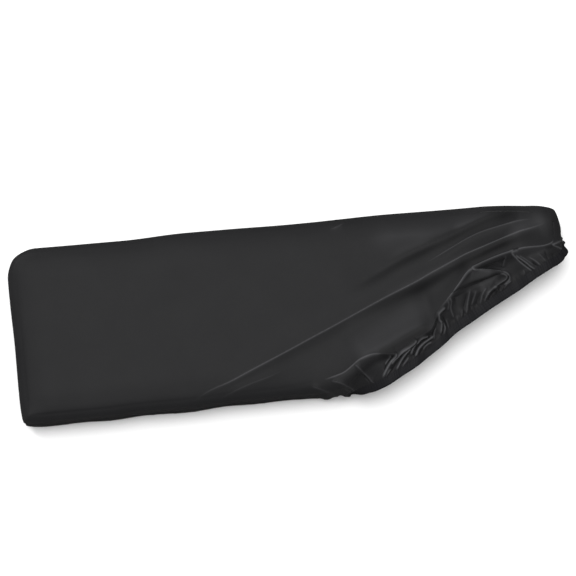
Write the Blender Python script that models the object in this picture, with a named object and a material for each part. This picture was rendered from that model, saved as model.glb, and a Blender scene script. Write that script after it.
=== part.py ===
"""A stretch dust cover for a long slab keyboard, with an elastic tape round its hem.

The cover is drawn back from its front right corner, so its side cloth lies there as a
gathered strip over the top instead of hanging down. Everything else hangs as fitted.
The tables are in millimetres. X runs along the cover, Y to its back and Z up, and the
origin is the middle of the underside of the flat top panel.
"""

import bpy
import numpy as np

METRES_PER_MM = 0.001

# Driving sizes in millimetres
CLOTH_THICKNESS = 1.5
TAPE_THICKNESS = 2.2
TAPE_WIDTH = 16.0
SEAM_GAP = 0.3
WALL_DROP = 105.0
SHOULDER = 16.0
HEM_TURN = 9.0
HEM_DIP = 3.0
EDGE_DROOP = 6.0
DROOP_REACH = 55.0
LIFTED_REACH = 90.0
MOST_REACH_OF_COLUMN = 0.95

# Mesh density: columns run along the cover, rows from front to back
COLUMN_BREAKS = (0.0, 0.04, 0.32, 0.96, 1.0)
COLUMN_COUNTS = (4, 7, 45, 4)
ROW_BREAKS = (0.0, 0.1, 0.8, 1.0)
ROW_COUNTS = (3, 10, 4)
RING_PLACES = (0.10, 0.20, 0.32, 0.46, 0.62, 0.78, 0.90, 1.0)

# Puckers that the elastic draws into the side cloth: height and pitch in millimetres, and
# the power of the way down to the hem by which they grow
HANGING_PUCKER = (1.2, 137.0)
LIFTED_PUCKER = (2.4, 63.0)
PUCKER_GROWTH = 1.5

# The narrowest flank that the mesh above can hold
LEAST_FLANK = 13.0

CLOTH_COLOUR = (0.034, 0.034, 0.035, 1.0)
CLOTH_ROUGHNESS = 0.85
TAPE_COLOUR = (0.020, 0.020, 0.021, 1.0)
TAPE_ROUGHNESS = 0.7


def hang(x, y, facing):
    """Station where the side hangs: its outer face at x, y in plan, facing so many degrees."""
    turn = np.radians(facing)
    crest_x = x - SHOULDER * np.cos(turn)
    crest_y = y - SHOULDER * np.sin(turn)
    return crest_x, crest_y, -EDGE_DROOP, x, y, 0.0


def rise(crest_x, crest_y, crest_z, foot_x, foot_y, lift):
    """Station where the side is lifted: its crest, its outer edge, and how far it is lifted."""
    return crest_x, crest_y, crest_z, foot_x, foot_y, lift


# Stations round the top panel, counterclockwise. Each side starts at its own corner.
FRONT = (
    hang(-532.0, -161.5, 225),
    hang(-497.0, -166.0, 270),
    hang(-379.0, -165.8, 270),
    hang(-302.0, -163.2, 270),
    hang(-222.0, -163.4, 270),
    hang(-114.0, -159.2, 270),
    hang(-45.0, -158.8, 270),
    # crest x, y, z, outer edge x, y, lift
    rise(35.0, -137.0, -3.0, 42.0, -159.6, 0.12),
    rise(89.6, -126.0, 6.0, 101.0, -164.6, 0.55),
    rise(130.7, -101.7, 10.0, 143.4, -165.6, 0.85),
    rise(159.5, -95.4, 8.0, 171.5, -158.0, 0.96),
    rise(195.7, -97.9, 12.0, 201.9, -143.1, 1.0),
    rise(238.4, -72.8, 12.0, 236.8, -123.9, 1.0),
    rise(270.0, -56.0, 12.0, 264.5, -105.9, 1.0),
    rise(284.8, -25.3, 14.0, 293.7, -85.8, 1.0),
    rise(305.9, -2.7, 16.0, 322.2, -64.4, 1.0),
    rise(330.4, 27.8, 18.0, 361.2, -42.6, 1.0),
    rise(356.4, 54.5, 20.0, 400.2, -20.2, 1.0),
    rise(396.9, 71.1, 18.0, 426.8, -6.7, 1.0),
    rise(434.8, 80.9, 16.0, 455.5, 9.2, 1.0),
    rise(466.4, 86.2, 13.0, 484.4, 26.1, 1.0),
    rise(500.0, 87.5, 9.0, 513.1, 41.4, 1.0),
    rise(519.0, 91.5, 5.0, 533.0, 51.0, 0.95),
)
RIGHT = (
    rise(524.0, 99.0, 1.0, 549.0, 74.0, 0.78),
    rise(524.0, 112.0, -4.0, 543.5, 99.0, 0.38),
    hang(540.0, 128.0, 0),
)
BACK = (
    hang(531.0, 158.5, 45),
    hang(488.0, 168.5, 90),
    hang(340.0, 173.0, 90),
    hang(181.0, 176.3, 90),
    hang(35.0, 175.0, 90),
    hang(-183.0, 177.0, 90),
    hang(-318.0, 172.7, 90),
    hang(-484.0, 173.4, 90),
)
LEFT = (
    hang(-526.0, 156.5, 135),
    hang(-540.0, 118.0, 180),
    hang(-537.0, -10.0, 180),
    hang(-536.0, -125.0, 180),
)
SIDES = (FRONT, RIGHT, BACK, LEFT)

# Control points of the side cloth from the crest line to the hem seam. A hanging side
# takes shares of the way out to its wall and of WALL_DROP. A lifted side takes shares of
# the strip's width and of its crest's height, and a height in millimetres on top of that.
SECTION = (
    # hang_out, hang_down, lift_out, lift_of_crest, lift_up
    (1.0, 0.42, 0.24, 0.62, 0.0),
    (1.0, 0.72, 0.52, 0.25, 3.0),
)
CREST_LEAD = 0.06
SEAM_UP = 2.0

# Shares by which each control point stands off the wall where the hem comes up to face out
STAND_OFF = (0.0, 0.0, 0.75, 1.0, 1.0)

# The last stretch before the hem seam, in millimetres or as a share of the lifted strip,
# and how steeply it runs where the side hangs, is lifted, and halfway between the two
SEAM_LEG = 12.0
LIFTED_LEG = 0.2
HANGING_DIP = 0.25
LIFTED_DIP = 0.12
TURNING_DIP = 1.6

# Ridges drawn across the top panel from the gathered strip. Each runs through three
# points. Flanks are the widths over which it falls away, and ends are its tapers.
RIDGES = (
    # x0, y0, x1, y1, x2, y2, height, crown, left flank, right flank, first end, last end
    (-223, -160, 200, 24, 486, 126, 7.0, 3.0, 22.0, 9.0, 260, 90),
    (-173, -161, -85, -128, -20, -108, 3.0, 5.0, 16.0, 12.0, 80, 70),
    (276, 92, 380, 124, 478, 145, 5.0, 3.0, 12.0, 8.0, 50, 60),
    (250, 120, 359, 145, 490, 155, 5.0, 5.0, 10.0, 10.0, 70, 60),
    (140, -92, 210, -62, 290, -30, 5.0, 4.0, 12.0, 9.0, 50, 30),
)
RIDGE_STEPS = 16

# How far down the side a ridge carries on, as a share of the way to the hem seam
RIDGE_REACH = 0.5


def fractions(breaks, counts):
    """Places from 0 to 1, evenly spaced within each stretch between two breaks."""
    pieces = []
    for start, end, count in zip(breaks[:-1], breaks[1:], counts):
        pieces.append(np.linspace(start, end, count, endpoint=False))
    return np.append(np.concatenate(pieces), breaks[-1])


def smooth_loop(keys, total, values, at):
    """Closed curve through the values at the keys, by cubic Hermite pieces.

    Each slope is the harmonic mean of the two gradients beside it, and zero where they
    differ in sign, so the curve never overshoots a station.
    """
    gaps = np.diff(np.append(keys, total))
    after = (np.roll(values, -1, axis=0) - values) / gaps[:, None]
    before = np.roll(after, 1, axis=0)
    alike = before * after > 0
    together = np.where(alike, before + after, 1.0)
    slopes = np.where(alike, 2 * before * after / together, 0.0)
    at = np.mod(at, total)
    this = np.searchsorted(keys, at, side="right") - 1
    following = (this + 1) % len(keys)
    gap = gaps[this][:, None]
    x = (at - keys[this])[:, None] / gap
    return (
        values[this] * (1 + 2 * x) * (1 - x) ** 2
        + slopes[this] * gap * x * (1 - x) ** 2
        + values[following] * (3 - 2 * x) * x**2
        + slopes[following] * gap * (x - 1) * x**2
    )


def station_keys(rows):
    """Distance along the loop of each station, halfway between its crest and outer edge."""
    steps = np.roll(rows, -1, axis=0) - rows
    crest_steps = np.hypot(steps[:, 0], steps[:, 1])
    foot_steps = np.hypot(steps[:, 3], steps[:, 4])
    lengths = (crest_steps + foot_steps) / 2
    keys = np.concatenate([[0.0], np.cumsum(lengths)])
    return keys[:-1], keys[-1]


def boundary(columns, rows_up):
    """Distances and station values along the panel's boundary, side by side."""
    rows = np.array([row for side in SIDES for row in side])
    keys, total = station_keys(rows)
    firsts = np.cumsum([0] + [len(side) for side in SIDES[:-1]])
    corners = np.append(keys[firsts], total)
    places = (columns, rows_up, 1 - columns[::-1], 1 - rows_up[::-1])
    distances = []
    for corner, end, along in zip(corners[:-1], corners[1:], places):
        distances.append(corner + along[:-1] * (end - corner))
    distances = np.concatenate(distances)
    return distances, smooth_loop(keys, total, rows, distances)


def unit(vectors):
    """Each row scaled to length one."""
    return vectors / np.linalg.norm(vectors, axis=1)[:, None]


def loop_run(loop):
    """Direction of a closed loop at each point, midway between the two steps beside it."""
    ahead = unit(np.roll(loop, -1, axis=0) - loop)
    return unit(ahead + np.roll(ahead, 1, axis=0))


def fall(distance, reach):
    """Share of an edge's height felt at a distance from it: (1 - d / reach) squared."""
    return (1 - np.minimum(distance / reach, 1)) ** 2


def top_panel(ring, columns, rows_up):
    """Grid of the top panel between its four sides, as a Coons patch.

    In plan it is the sum of the two ruled surfaces less the bilinear one. Its height is
    the same sum with each side's height falling off within its reach.
    """
    long_way, short_way = len(columns) - 1, len(rows_up) - 1
    closed = np.vstack([ring, ring[:1]])
    front = closed[: long_way + 1]
    right = closed[long_way : long_way + short_way + 1]
    back = closed[long_way + short_way : 2 * long_way + short_way + 1][::-1]
    left = closed[2 * long_way + short_way :][::-1]
    u = columns[:, None, None]
    v = rows_up[None, :, None]
    near, far = front[:, None, :2], back[:, None, :2]
    west, east = left[None, :, :2], right[None, :, :2]
    plan = (1 - v) * near + v * far + (1 - u) * west + u * east
    plan -= (1 - v) * ((1 - u) * near[:1] + u * near[-1:])
    plan -= v * ((1 - u) * far[:1] + u * far[-1:])
    depth = np.linalg.norm(back[:, :2] - front[:, :2], axis=1)
    width = np.linalg.norm(front[-1, :2] - front[0, :2])
    most_reach = MOST_REACH_OF_COLUMN * depth
    front_reach = DROOP_REACH + (LIFTED_REACH - DROOP_REACH) * front[:, 5]
    front_reach = np.minimum(front_reach, most_reach)
    back_reach = np.minimum(DROOP_REACH, most_reach)
    from_front = fall(rows_up[None, :] * depth[:, None], front_reach[:, None])
    from_back = fall((1 - rows_up)[None, :] * depth[:, None], back_reach[:, None])
    from_left = fall(columns * width, DROOP_REACH)[:, None]
    from_right = fall((1 - columns) * width, DROOP_REACH)[:, None]
    height = front[:, None, 2] * from_front + back[:, None, 2] * from_back
    height += left[None, :, 2] * from_left + right[None, :, 2] * from_right
    height -= from_left * (front[0, 2] * from_front + back[0, 2] * from_back)
    height -= from_right * (front[-1, 2] * from_front + back[-1, 2] * from_back)
    side_reach = np.full(short_way, DROOP_REACH)
    reaches = (front_reach[:-1], side_reach, back_reach[::-1][:-1], side_reach)
    return np.dstack([plan, height]), np.concatenate(reaches)


def spline_weights(place):
    """Weights of the six control points of a clamped quadratic B-spline at a place."""
    knots = np.array([0, 0, 0, 0.25, 0.5, 0.75, 1, 1, 1])
    place = min(place, 1 - 1e-9)
    weights = ((knots[:-1] <= place) & (place < knots[1:])).astype(float)
    for degree in (1, 2):
        count = len(weights) - 1
        raised = np.zeros(count)
        for i in range(count):
            low = knots[i + degree] - knots[i]
            high = knots[i + degree + 1] - knots[i + 1]
            if low > 0:
                raised[i] += (place - knots[i]) / low * weights[i]
            if high > 0:
                raised[i] += (knots[i + degree + 1] - place) / high * weights[i + 1]
        weights = raised
    return weights


def side_controls(ring, reaches):
    """Six control points for each station of the side cloth, hanging and lifted mixed."""
    crest, foot, lift = ring[:, :3], ring[:, 3:5], ring[:, 5]
    across = foot - crest[:, :2]
    width = np.linalg.norm(across, axis=1)
    outward = across / width[:, None]
    cloth_width = np.maximum(width - TAPE_WIDTH, SHOULDER)
    slope = 2 * crest[:, 2] / reaches
    lead = CREST_LEAD * cloth_width
    dip = (1 - lift) * HANGING_DIP + lift * LIFTED_DIP + lift * (1 - lift) * TURNING_DIP
    tape_out = TAPE_WIDTH * np.maximum(2 * lift - 1, 0) / np.hypot(2 * lift - 1, dip)
    hem_out = (1 - lift) * (width - HEM_TURN) + lift * cloth_width
    off_wall = np.minimum(2 * lift, 1) * np.maximum(width - hem_out - tape_out, 0)
    hanging = [(np.zeros_like(width), crest[:, 2])]
    hanging.append((width, crest[:, 2] + slope * SHOULDER))
    lifted = [hanging[0], (lead, crest[:, 2] + slope * lead)]
    for hang_out, hang_down, lift_out, lift_of_crest, lift_up in SECTION:
        hanging.append((hang_out * width, np.full_like(width, -hang_down * WALL_DROP)))
        lifted.append((lift_out * cloth_width, lift_of_crest * crest[:, 2] + lift_up))
    hanging.append((width - HEM_TURN, np.full_like(width, -WALL_DROP - HEM_DIP)))
    lifted.append((cloth_width, np.full_like(width, SEAM_UP)))
    controls = []
    for (low_out, low_z), (high_out, high_z), share in zip(hanging, lifted, STAND_OFF):
        out = (1 - lift) * low_out + lift * high_out + share * off_wall
        z = (1 - lift) * low_z + lift * high_z
        controls.append(np.column_stack([crest[:, :2] + outward * out[:, None], z]))
    onward = np.column_stack([outward * (2 * lift - 1)[:, None], -dip])
    run = loop_run(controls[-1])
    turning = 4 * lift * (1 - lift)
    onward = unit(onward - (turning * (onward * run).sum(axis=1))[:, None] * run)
    leg = (1 - lift) * SEAM_LEG + lift * LIFTED_LEG * cloth_width
    controls.insert(-1, controls[-1] - leg[:, None] * onward)
    return np.array(controls), onward


def side_rings(controls, onward):
    """Rings of the side cloth and then the free edge of the tape, and their places."""
    rings = [np.tensordot(spline_weights(t), controls, axes=1) for t in RING_PLACES]
    rings.append(rings[-1] + (SEAM_GAP + TAPE_WIDTH) * onward)
    return rings, RING_PLACES + (1.0,)


def grid_quads(panel, rings, per_ring):
    """Quads of the top panel and of each band between rings, facing out."""
    across, up = panel
    index = np.arange(across * up).reshape(across, up)
    corners = (index[:-1, :-1], index[1:, :-1], index[1:, 1:], index[:-1, 1:])
    top = np.stack(corners, axis=-1).reshape(-1, 4)
    inner = np.concatenate(
        [index[:-1, 0], index[-1, :-1], index[1:, -1][::-1], index[0, 1:][::-1]]
    )
    bands = []
    for ring in range(rings):
        outer = across * up + ring * per_ring + np.arange(per_ring)
        sides = (inner, outer, np.roll(outer, -1), np.roll(inner, -1))
        bands.append(np.column_stack(sides))
        inner = outer
    return top, bands


def vertex_normals(points, quads):
    """Unit normals, each the sum of the cross diagonals of the quads round a point."""
    a, b, c, d = (points[quads[:, i]] for i in range(4))
    crosses = np.cross(c - a, d - b)
    normals = np.zeros_like(points)
    for i in range(4):
        np.add.at(normals, quads[:, i], crosses)
    return unit(normals)


def ridge_height(x, y, ridge):
    """Height of one ridge: h * taper * exp(-(sqrt(d * d + c * c) - c) / flank).

    d is the distance to the ridge's curve, c its crown, and the flank differs by side.
    The taper is a smooth step from each end.
    """
    x0, y0, x1, y1, x2, y2, high, crown, left, right, first, last = ridge
    t = np.linspace(0, 1, RIDGE_STEPS)
    bend_x = 2 * x1 - (x0 + x2) / 2
    bend_y = 2 * y1 - (y0 + y2) / 2
    line_x = (1 - t) ** 2 * x0 + 2 * t * (1 - t) * bend_x + t**2 * x2
    line_y = (1 - t) ** 2 * y0 + 2 * t * (1 - t) * bend_y + t**2 * y2
    step_x, step_y = np.diff(line_x), np.diff(line_y)
    length = np.hypot(step_x, step_y)
    starts = np.concatenate([[0.0], np.cumsum(length)])
    away_x, away_y = x[:, None] - line_x[:-1], y[:, None] - line_y[:-1]
    along = np.clip((away_x * step_x + away_y * step_y) / length**2, 0, 1)
    off_x, off_y = away_x - along * step_x, away_y - along * step_y
    distances = np.hypot(off_x, off_y)
    nearest = distances.argmin(axis=1)
    pick = np.arange(len(x)), nearest
    distance = distances[pick]
    travelled = starts[nearest] + along[pick] * length[nearest]
    side = step_x[nearest] * off_y[pick] - step_y[nearest] * off_x[pick]
    flank = np.where(side > 0, max(left, LEAST_FLANK), max(right, LEAST_FLANK))
    start_share = np.clip(travelled / first, 0, 1)
    end_share = np.clip((starts[-1] - travelled) / last, 0, 1)
    taper = start_share**2 * (3 - 2 * start_share) * end_share**2 * (3 - 2 * end_share)
    return high * taper * np.exp(-(np.hypot(distance, crown) - crown) / flank)


def pucker_height(distance, place, lift):
    """Waves that the elastic draws into a side, growing from its crest to its hem."""
    low, low_pitch = HANGING_PUCKER
    high, high_pitch = LIFTED_PUCKER
    slow = low * np.sin(2 * np.pi * distance / low_pitch)
    quick = high * np.sin(2 * np.pi * distance / high_pitch)
    return ((1 - lift) * slow + lift * quick) * place**PUCKER_GROWTH


def cover_surface():
    """Underside of cloth and tape as one grid: points, unit normals and quads by region."""
    columns = fractions(COLUMN_BREAKS, COLUMN_COUNTS)
    rows_up = fractions(ROW_BREAKS, ROW_COUNTS)
    distances, ring = boundary(columns, rows_up)
    panel, reaches = top_panel(ring, columns, rows_up)
    rings, places = side_rings(*side_controls(ring, reaches))
    points = np.vstack([panel.reshape(-1, 3), *rings])
    top, bands = grid_quads(panel.shape[:2], len(rings), len(ring))
    quads = np.vstack([top, *bands])
    normals = vertex_normals(points, quads)
    on_top = np.zeros(panel.shape[0] * panel.shape[1])
    place = np.concatenate([on_top, np.repeat(places, len(ring))])
    raised = sum(ridge_height(points[:, 0], points[:, 1], row) for row in RIDGES)
    raised *= fall(place, RIDGE_REACH)
    waves = [pucker_height(distances, one, ring[:, 5]) for one in places]
    raised += np.concatenate([on_top, *waves])
    points = points + raised[:, None] * normals
    return points, vertex_normals(points, quads), top, bands


def triangles(quads, flipped=False):
    """Two triangles for each quad, always cut along the same diagonal."""
    split = np.vstack([quads[:, [0, 1, 2]], quads[:, [0, 2, 3]]])
    return split[:, ::-1] if flipped else split


def shell(points, normals, quads, low, high, last_edge, first_edge=None):
    """Closed sheet between two offsets of a grid, with a rim along each open edge."""
    used = np.unique(quads)
    place = np.full(len(points), -1)
    place[used] = np.arange(len(used))
    outer = points[used] + high * normals[used]
    inner = points[used] + low * normals[used]
    faces = [triangles(place[quads]), triangles(place[quads] + len(used), True)]
    for edge, flipped in ((last_edge, False), (first_edge, True)):
        if edge is not None:
            here = place[edge]
            after = np.roll(here, -1)
            rim = np.column_stack([here, here + len(used), after + len(used), after])
            faces.append(triangles(rim, flipped))
    return np.vstack([outer, inner]), np.vstack(faces)


def step_off_seam(points, normals, seam, free_edge):
    """Copy of the points with the seam moved square off the cloth's rim by the seam gap."""
    across = points[free_edge] - points[seam]
    for other in (normals[seam], loop_run(points[seam])):
        across -= (across * other).sum(axis=1)[:, None] * other
    moved = points.copy()
    moved[seam] += SEAM_GAP * unit(across)
    return moved


def add_piece(name, points, faces, colour, roughness):
    """Mesh object with smooth faces and a material of its own, sized in metres."""
    mesh = bpy.data.meshes.new(name)
    mesh.from_pydata((points * METRES_PER_MM).tolist(), [], faces.tolist())
    mesh.shade_smooth()
    material = bpy.data.materials.new(name + "_material")
    material.use_nodes = True
    surface = material.node_tree.nodes["Principled BSDF"]
    surface.inputs["Base Color"].default_value = colour
    surface.inputs["Roughness"].default_value = roughness
    surface.inputs["Metallic"].default_value = 0.0
    mesh.materials.append(material)
    piece = bpy.data.objects.new(name, mesh)
    bpy.context.scene.collection.objects.link(piece)
    return piece


def clear_scene():
    """Remove every object that the file starts with."""
    for old in list(bpy.data.objects):
        bpy.data.objects.remove(old)


def build():
    """The cover's cloth and its elastic tape, as two closed sheets along one surface."""
    clear_scene()
    points, normals, top, bands = cover_surface()
    cloth_quads = np.vstack([top, *bands[:-1]])
    seam, free_edge = bands[-1][:, 0], bands[-1][:, 1]
    cloth = shell(points, normals, cloth_quads, 0.0, CLOTH_THICKNESS, seam)
    add_piece("cover_cloth", *cloth, CLOTH_COLOUR, CLOTH_ROUGHNESS)
    moved = step_off_seam(points, normals, seam, free_edge)
    overhang = (TAPE_THICKNESS - CLOTH_THICKNESS) / 2
    low, high = -overhang, CLOTH_THICKNESS + overhang
    tape = shell(moved, normals, bands[-1], low, high, free_edge, seam)
    add_piece("elastic_binding", *tape, TAPE_COLOUR, TAPE_ROUGHNESS)


build()
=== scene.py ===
# %% [markdown]
# A stretch dust cover for a long slab keyboard, drawn back from its front right corner.
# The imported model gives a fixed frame: its two solids show where the cloth and its elastic
# tape lie. Here each of them is replaced by a finer surface along the same lines, so the
# folds, the pleats beside the tape and the finish of the knit can be seen.

# %% Load the frame
import math

import bpy
import numpy as np
from mathutils import Matrix, Vector


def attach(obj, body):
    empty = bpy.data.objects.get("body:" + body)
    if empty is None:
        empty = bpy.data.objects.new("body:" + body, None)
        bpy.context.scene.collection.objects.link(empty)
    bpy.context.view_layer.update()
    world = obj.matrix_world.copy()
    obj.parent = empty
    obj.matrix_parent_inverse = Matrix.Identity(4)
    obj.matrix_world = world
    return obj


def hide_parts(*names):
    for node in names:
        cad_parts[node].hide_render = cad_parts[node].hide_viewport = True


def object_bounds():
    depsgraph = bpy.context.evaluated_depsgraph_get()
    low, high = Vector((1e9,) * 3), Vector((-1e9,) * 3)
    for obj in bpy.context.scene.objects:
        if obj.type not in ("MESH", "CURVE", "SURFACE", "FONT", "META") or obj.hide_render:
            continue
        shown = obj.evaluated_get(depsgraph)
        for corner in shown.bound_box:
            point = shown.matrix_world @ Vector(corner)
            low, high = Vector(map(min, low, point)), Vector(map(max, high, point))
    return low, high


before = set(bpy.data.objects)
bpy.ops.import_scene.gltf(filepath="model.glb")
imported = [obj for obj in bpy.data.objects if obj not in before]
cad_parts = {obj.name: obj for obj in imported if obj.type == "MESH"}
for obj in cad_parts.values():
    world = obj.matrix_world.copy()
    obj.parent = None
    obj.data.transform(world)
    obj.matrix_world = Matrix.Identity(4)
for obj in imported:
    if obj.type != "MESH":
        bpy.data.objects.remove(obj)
cad_low, cad_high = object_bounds()
METRES_PER_MM = 0.001
print("cover box in millimetres", [round(x / METRES_PER_MM) for x in cad_high - cad_low])

# %% [markdown]
# The camera looks almost straight down through a long lens, from a little in front of the
# cover, and it is turned so that the cover's long edges climb to the right. A long lens far
# away keeps the two long edges parallel. Its width of view is set at the top panel.

# %% Camera
CAMERA_AZIMUTH = math.radians(-5.2)
CAMERA_ELEVATION = math.radians(84.0)
CAMERA_DISTANCE = 6.0
SENSOR_WIDTH_MM = 36.0
VIEW_WIDTH = 1.118
AIM = Vector((0.0012, 0.0499, 0.0))


def camera_axes(azimuth, elevation):
    """Right, up and backward directions of a camera at an azimuth and an elevation."""
    right = Vector((math.cos(azimuth), math.sin(azimuth), 0.0))
    ahead = Vector((-math.sin(azimuth), math.cos(azimuth), 0.0)) * math.cos(elevation)
    back = Vector((-ahead.x, -ahead.y, math.sin(elevation)))
    return right, back.cross(right), back


right, up, back = camera_axes(CAMERA_AZIMUTH, CAMERA_ELEVATION)
camera_data = bpy.data.cameras.new("camera")
camera_data.sensor_width = SENSOR_WIDTH_MM
camera_data.lens = SENSOR_WIDTH_MM * CAMERA_DISTANCE / VIEW_WIDTH
camera_data.clip_end = 4 * CAMERA_DISTANCE
camera = bpy.data.objects.new("camera", camera_data)
turned = Matrix((right, up, back)).transposed().to_4x4()
camera.matrix_world = Matrix.Translation(AIM + back * CAMERA_DISTANCE) @ turned
bpy.context.scene.collection.objects.link(camera)
bpy.context.scene.camera = camera
print("lens in millimetres", round(camera_data.lens))

# %% [markdown]
# Every surface below is a grid of points worked out with numpy. One helper puts points and
# faces into a mesh, and another writes texture coordinates, one pair for each face corner,
# measured in millimetres along the cloth so that a knit pattern keeps its real size.

# %% Mesh helpers


def add_mesh(name, points_mm, quads, body="root"):
    """Mesh object at the origin from points in millimetres, smooth, riding on a body."""
    mesh = bpy.data.meshes.new(name)
    mesh.from_pydata((points_mm * METRES_PER_MM).tolist(), [], quads.tolist())
    mesh.shade_smooth()
    piece = bpy.data.objects.new(name, mesh)
    bpy.context.scene.collection.objects.link(piece)
    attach(piece, body)
    print(name, len(points_mm), "points", len(quads), "quads")
    return piece


def add_cloth_map(piece, corner_places):
    """UV map in millimetres, from an array of quads by 4 corners by 2."""
    layer = piece.data.uv_layers.new(name="cloth_mm")
    layer.data.foreach_set("uv", corner_places.astype(np.float32).ravel())


def quad_corners(grid):
    """The four values at the corners of each cell of a grid, in order round the cell."""
    return np.stack([grid[:-1, :-1], grid[1:, :-1], grid[1:, 1:], grid[:-1, 1:]], axis=2)


def unit(vectors):
    """Each row scaled to length one."""
    return vectors / np.linalg.norm(vectors, axis=1)[:, None]


# %% [markdown]
# The cover is described by stations round the edge of its top panel. At each one the cloth
# turns down at a crest and ends at an outer edge. Where the side hangs, both follow from the
# face of the wall. Where it is lifted, the gathered side lies as a strip over the top, and
# each station was measured on its own. The lift goes from 0, hanging, to 1, lying flat.

# %% Stations round the top panel
CLOTH_THICKNESS = 1.5
TAPE_WIDTH = 16.0
SEAM_GAP = 0.3
WALL_DROP = 105.0
SHOULDER = 16.0
HEM_TURN = 9.0
HEM_DIP = 3.0
EDGE_DROOP = 6.0


def hang(x, y, facing):
    """Station where the side hangs: its outer face at x, y in plan, facing so many degrees."""
    turn = np.radians(facing)
    crest_x = x - SHOULDER * np.cos(turn)
    crest_y = y - SHOULDER * np.sin(turn)
    return crest_x, crest_y, -EDGE_DROOP, x, y, 0.0


def rise(crest_x, crest_y, crest_z, foot_x, foot_y, lift):
    """Station where the side is lifted: its crest, its outer edge, and how far it is lifted."""
    return crest_x, crest_y, crest_z, foot_x, foot_y, lift


FRONT = (
    hang(-532.0, -161.5, 225),
    hang(-497.0, -166.0, 270),
    hang(-379.0, -165.8, 270),
    hang(-302.0, -163.2, 270),
    hang(-222.0, -163.4, 270),
    hang(-114.0, -159.2, 270),
    hang(-45.0, -158.8, 270),
    # crest x, y, z, outer edge x, y, lift
    rise(35.0, -137.0, -3.0, 42.0, -159.6, 0.12),
    rise(89.6, -126.0, 6.0, 101.0, -164.6, 0.55),
    rise(130.7, -101.7, 10.0, 143.4, -165.6, 0.85),
    rise(159.5, -95.4, 8.0, 171.5, -158.0, 0.96),
    rise(195.7, -97.9, 12.0, 201.9, -143.1, 1.0),
    rise(238.4, -72.8, 12.0, 236.8, -123.9, 1.0),
    rise(270.0, -56.0, 12.0, 264.5, -105.9, 1.0),
    rise(284.8, -25.3, 14.0, 293.7, -85.8, 1.0),
    rise(305.9, -2.7, 16.0, 322.2, -64.4, 1.0),
    rise(330.4, 24.3, 18.0, 361.2, -42.6, 1.0),
    rise(356.4, 50.8, 20.0, 400.2, -20.2, 1.0),
    rise(396.9, 67.3, 18.0, 426.8, -6.7, 1.0),
    rise(434.8, 77.8, 16.0, 455.5, 9.2, 1.0),
    rise(466.4, 84.0, 13.0, 484.4, 26.1, 1.0),
    rise(500.0, 85.8, 9.0, 513.1, 41.4, 1.0),
    rise(519.0, 91.5, 5.0, 533.0, 51.0, 0.95),
)
RIGHT = (
    rise(524.0, 99.0, 1.0, 549.0, 74.0, 0.78),
    rise(524.0, 112.0, -4.0, 543.5, 99.0, 0.38),
    hang(540.0, 128.0, 0),
)
BACK = (
    hang(531.0, 158.5, 45),
    hang(488.0, 168.5, 90),
    hang(340.0, 173.0, 90),
    hang(181.0, 176.3, 90),
    hang(35.0, 175.0, 90),
    hang(-183.0, 177.0, 90),
    hang(-318.0, 172.7, 90),
    hang(-484.0, 173.4, 90),
)
LEFT = (
    hang(-526.0, 156.5, 135),
    hang(-540.0, 118.0, 180),
    hang(-537.0, -10.0, 180),
    hang(-536.0, -125.0, 180),
)
SIDES = (FRONT, RIGHT, BACK, LEFT)
print("stations", [len(side) for side in SIDES])

# %% [markdown]
# Between the stations the edge is a smooth closed curve. Slopes from the harmonic mean of
# neighbouring gradients keep it from swinging past a station, so straight walls stay
# straight and only the corners bend. The points along it are twice as close where the
# cloth is gathered as they are along the plain left half.

# %% Points along the edge
COLUMN_BREAKS = (0.0, 0.46, 1.0)
COLUMN_COUNTS = (110, 440)
ROW_COUNT = 80
PLACE_COUNT = 42
DROOP_REACH = 55.0
LIFTED_REACH = 90.0
MOST_REACH_OF_COLUMN = 0.95


def fractions(breaks, counts):
    """Places from 0 to 1, evenly spaced within each stretch between two breaks."""
    pieces = []
    for start, end, count in zip(breaks[:-1], breaks[1:], counts):
        pieces.append(np.linspace(start, end, count, endpoint=False))
    return np.append(np.concatenate(pieces), breaks[-1])


def smooth_loop(keys, total, values, at):
    """Closed curve through the values at the keys, by cubic Hermite pieces."""
    gaps = np.diff(np.append(keys, total))
    after = (np.roll(values, -1, axis=0) - values) / gaps[:, None]
    before = np.roll(after, 1, axis=0)
    alike = before * after > 0
    together = np.where(alike, before + after, 1.0)
    slopes = np.where(alike, 2 * before * after / together, 0.0)
    at = np.mod(at, total)
    this = np.searchsorted(keys, at, side="right") - 1
    following = (this + 1) % len(keys)
    gap = gaps[this][:, None]
    x = (at - keys[this])[:, None] / gap
    return (
        values[this] * (1 + 2 * x) * (1 - x) ** 2
        + slopes[this] * gap * x * (1 - x) ** 2
        + values[following] * (3 - 2 * x) * x**2
        + slopes[following] * gap * (x - 1) * x**2
    )


stations = np.array([row for side in SIDES for row in side])
steps = np.roll(stations, -1, axis=0) - stations
crest_steps = np.hypot(steps[:, 0], steps[:, 1])
foot_steps = np.hypot(steps[:, 3], steps[:, 4])
lengths = np.concatenate([[0.0], np.cumsum((crest_steps + foot_steps) / 2)])
station_keys, total_length = lengths[:-1], lengths[-1]
firsts = np.cumsum([0] + [len(side) for side in SIDES[:-1]])
corner_keys = np.append(station_keys[firsts], total_length)

columns = fractions(COLUMN_BREAKS, COLUMN_COUNTS)
rows_up = np.linspace(0, 1, ROW_COUNT + 1)
side_places = (columns, rows_up, 1 - columns[::-1], 1 - rows_up[::-1])
along = np.concatenate([
    start + place[:-1] * (end - start)
    for start, end, place in zip(corner_keys[:-1], corner_keys[1:], side_places)
])
edge = smooth_loop(station_keys, total_length, stations, along)
lift = edge[:, 5]
print("edge length in millimetres", round(total_length), "with", len(along), "points")

# %% [markdown]
# The top panel is stretched between its four edges as a Coons patch: the sum of the two
# surfaces ruled between opposite edges, less the one that both of them count. Its height
# falls off from each edge, so the panel is flat in the middle, droops a little towards a
# hanging side and rises to the crest of the lifted one.

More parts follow.
